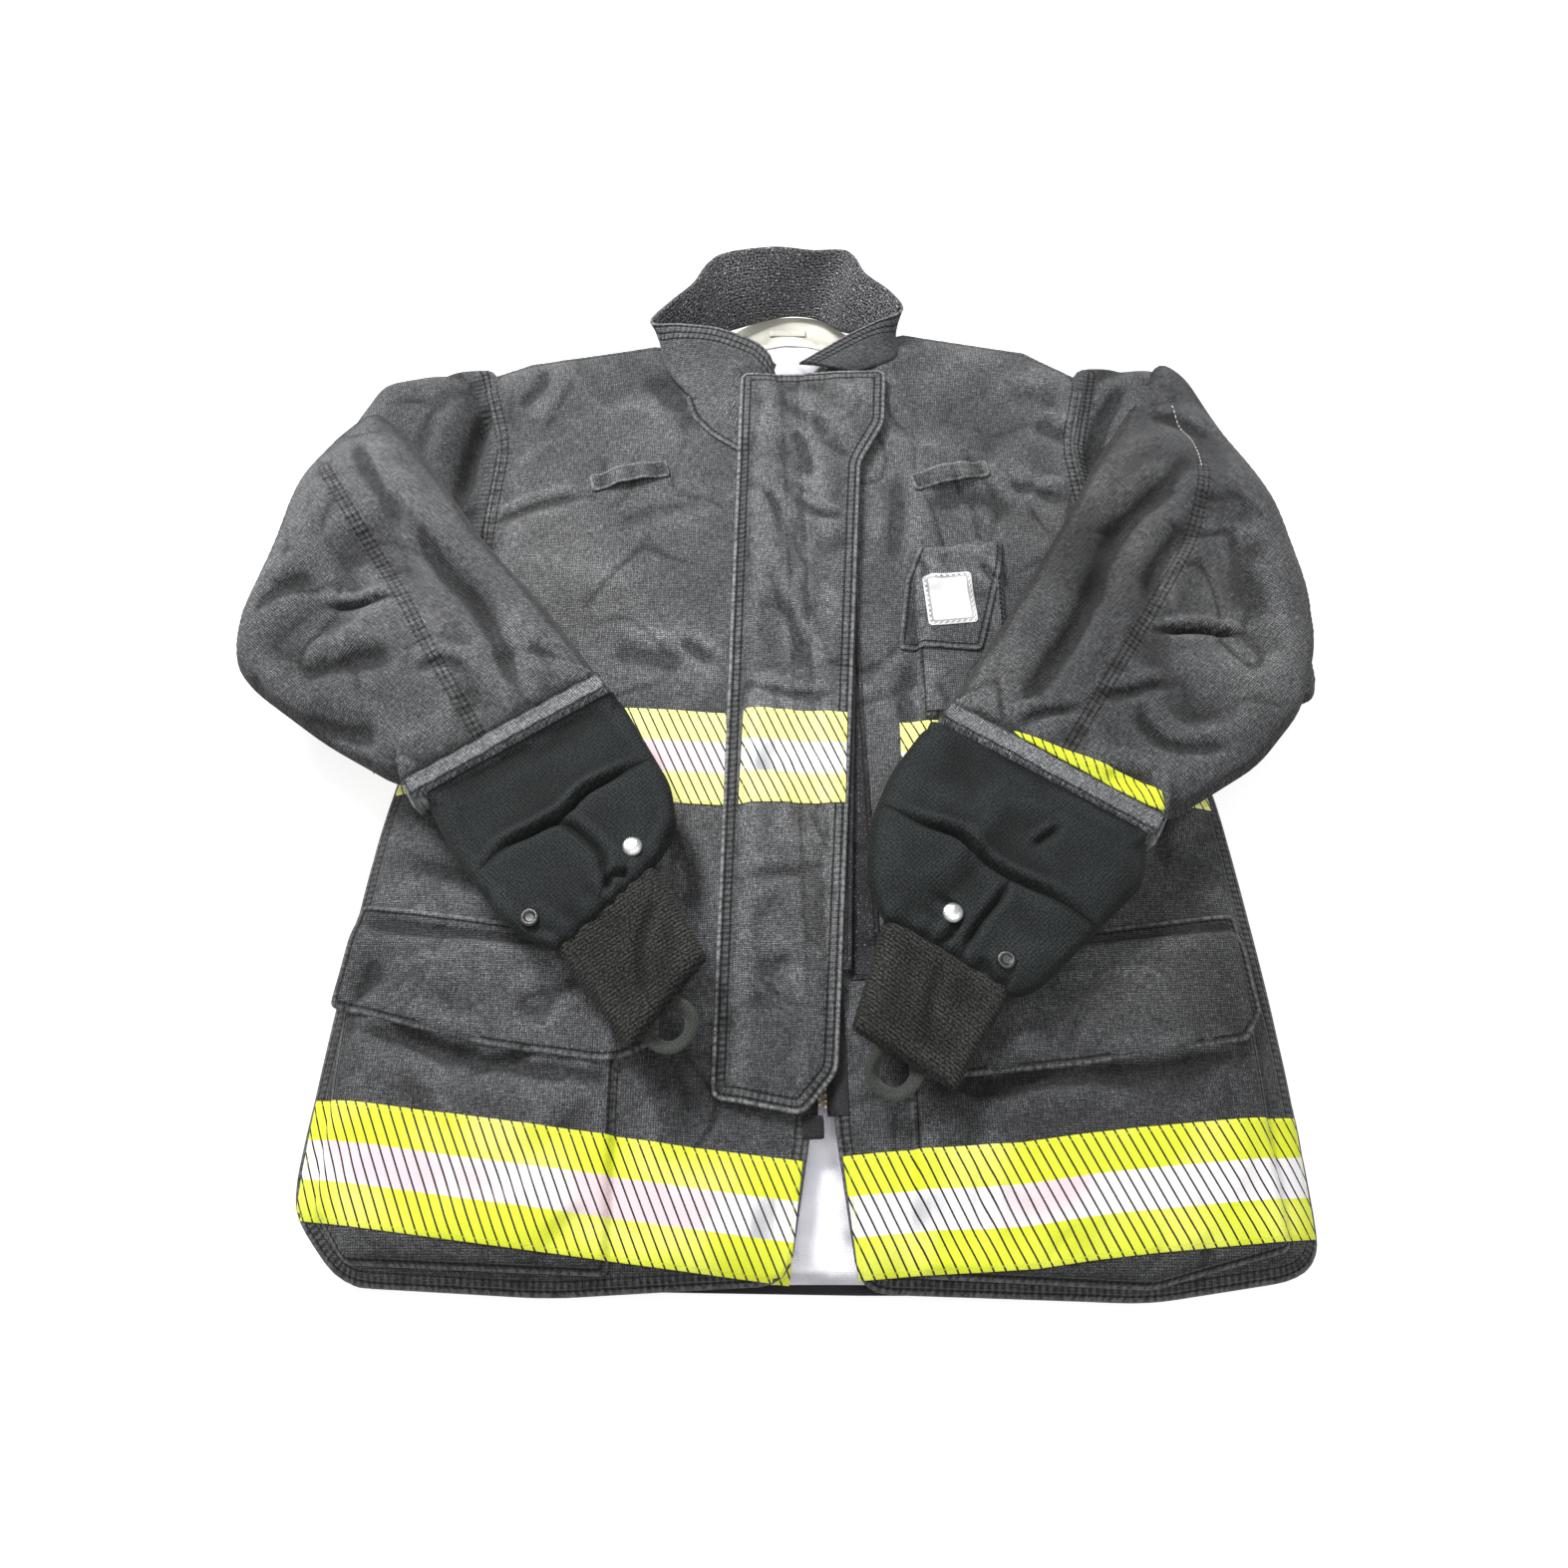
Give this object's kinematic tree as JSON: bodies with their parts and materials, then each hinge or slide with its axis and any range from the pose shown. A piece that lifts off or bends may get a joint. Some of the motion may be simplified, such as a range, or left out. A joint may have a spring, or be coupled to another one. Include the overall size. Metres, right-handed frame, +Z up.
{
  "type": "turnout coat",
  "caption": "Firefighter's turnout coat lying on its back with folded sleeves, a storm flap, cargo and radio pockets, reflective trim, a standing collar and knitted wristlets.",
  "frame": {"origin": "on the floor under the middle of the coat's box", "axes": "+Z up from the floor the back lies on, +Y towards the collar, +X towards the wearer's left arm"},
  "size_m": [0.83, 0.864, 0.0973],
  "materials": {
    "shell_cloth": "woven, matte",
    "moisture_barrier": "smooth film",
    "quilted_liner": "quilted",
    "collar_wool": "brushed, flecked",
    "black_webbing": "woven tape",
    "hook_and_loop": "pile",
    "brass_zip": "worn",
    "reflective_trim": "fluorescent with a reflective stripe",
    "label_cloth": "woven label",
    "grey_binding": "twill tape",
    "well_cloth": "coated, slightly glossy",
    "black_knit": "rib knit",
    "snap_metal": "nickel plated"
  },
  "bodies": {
    "torso": {"back_shell": "shell_cloth", "back_moisture_barrier": "moisture_barrier", "back_thermal_liner": "quilted_liner", "right_front_shell": "shell_cloth", "left_front_shell": "shell_cloth", "right_front_liner": "quilted_liner", "left_front_liner": "quilted_liner", "collar_shell": "shell_cloth", "collar_lining": "collar_wool", "throat_tab": "shell_cloth", "hanger_loop": "black_webbing", "closure_loop_strip": "hook_and_loop", "right_zipper_tape": "black_webbing", "left_zipper_tape": "black_webbing", "right_zipper_teeth": "brass_zip", "left_zipper_teeth": "brass_zip", "zipper_end_tab": "black_webbing", "right_mic_tab": "shell_cloth", "left_mic_tab": "shell_cloth", "radio_pocket": "shell_cloth", "right_cargo_pocket": "shell_cloth", "left_cargo_pocket": "shell_cloth", "back_trim": "reflective_trim", "right_front_trim": "reflective_trim", "left_front_trim": "reflective_trim"},
    "storm_flap": {"storm_flap": "shell_cloth", "storm_flap_trim": "reflective_trim", "storm_flap_hook_strip": "hook_and_loop"},
    "radio_flap": {"radio_pocket_flap": "shell_cloth", "label_patch": "label_cloth"},
    "right_pocket_flap": {"right_pocket_flap": "shell_cloth"},
    "left_pocket_flap": {"left_pocket_flap": "shell_cloth"},
    "zipper_slider": {"zipper_slider": "brass_zip", "zipper_pull": "brass_zip"},
    "right_upper_sleeve": {"right_upper_sleeve": "shell_cloth", "right_upper_sleeve_liner": "quilted_liner"},
    "right_forearm": {"right_forearm": "shell_cloth", "right_forearm_liner": "quilted_liner", "right_cuff_binding": "grey_binding", "right_water_well": "well_cloth", "right_wristlet": "black_knit", "right_thumb_loop": "black_webbing", "right_cuff_snaps": "snap_metal", "right_sleeve_trim": "reflective_trim"},
    "left_upper_sleeve": {"left_upper_sleeve": "shell_cloth", "left_upper_sleeve_liner": "quilted_liner"},
    "left_forearm": {"left_forearm": "shell_cloth", "left_forearm_liner": "quilted_liner", "left_cuff_binding": "grey_binding", "left_water_well": "well_cloth", "left_wristlet": "black_knit", "left_thumb_loop": "black_webbing", "left_cuff_snaps": "snap_metal", "left_sleeve_trim": "reflective_trim"}
  },
  "joints": [
    {"name": "right_shoulder", "type": "hinge", "parent": "torso", "child": "right_upper_sleeve", "pos_m": [-0.262, 0.313, 0.029], "axis": [0, 0, -1], "range_deg": [0, 45]},
    {"name": "right_elbow", "type": "hinge", "parent": "right_upper_sleeve", "child": "right_forearm", "pos_m": [-0.345, 0.085, 0.054], "axis": [0, 0, -1], "range_deg": [0, 80]},
    {"name": "left_shoulder", "type": "hinge", "parent": "torso", "child": "left_upper_sleeve", "pos_m": [0.262, 0.313, 0.029], "axis": [0, 0, 1], "range_deg": [0, 45]},
    {"name": "left_elbow", "type": "hinge", "parent": "left_upper_sleeve", "child": "left_forearm", "pos_m": [0.345, 0.085, 0.054], "axis": [0, 0, 1], "range_deg": [0, 80]},
    {"name": "storm_flap_opening", "type": "hinge", "parent": "torso", "child": "storm_flap", "pos_m": [-0.022, 0.303, 0.046], "axis": [-0.0427, -0.9991, 0], "range_deg": [0, 88]},
    {"name": "radio_flap_lift", "type": "hinge", "parent": "torso", "child": "radio_flap", "pos_m": [0.11, 0.128, 0.0464], "axis": [-0.9927, -0.1203, 0], "range_deg": [0, 150]},
    {"name": "right_pocket_flap_lift", "type": "hinge", "parent": "torso", "child": "right_pocket_flap", "pos_m": [-0.3, -0.172, 0.0495], "axis": [-0.9914, 0.1309, 0], "range_deg": [0, 6]},
    {"name": "left_pocket_flap_lift", "type": "hinge", "parent": "torso", "child": "left_pocket_flap", "pos_m": [0.092, -0.207, 0.0495], "axis": [-0.9929, -0.1186, 0], "range_deg": [0, 6]},
    {"name": "zipper_slide", "type": "slide", "parent": "torso", "child": "zipper_slider", "axis": [0.0358, -0.9994, 0], "range_m": [0, 0.56]}
  ]
}
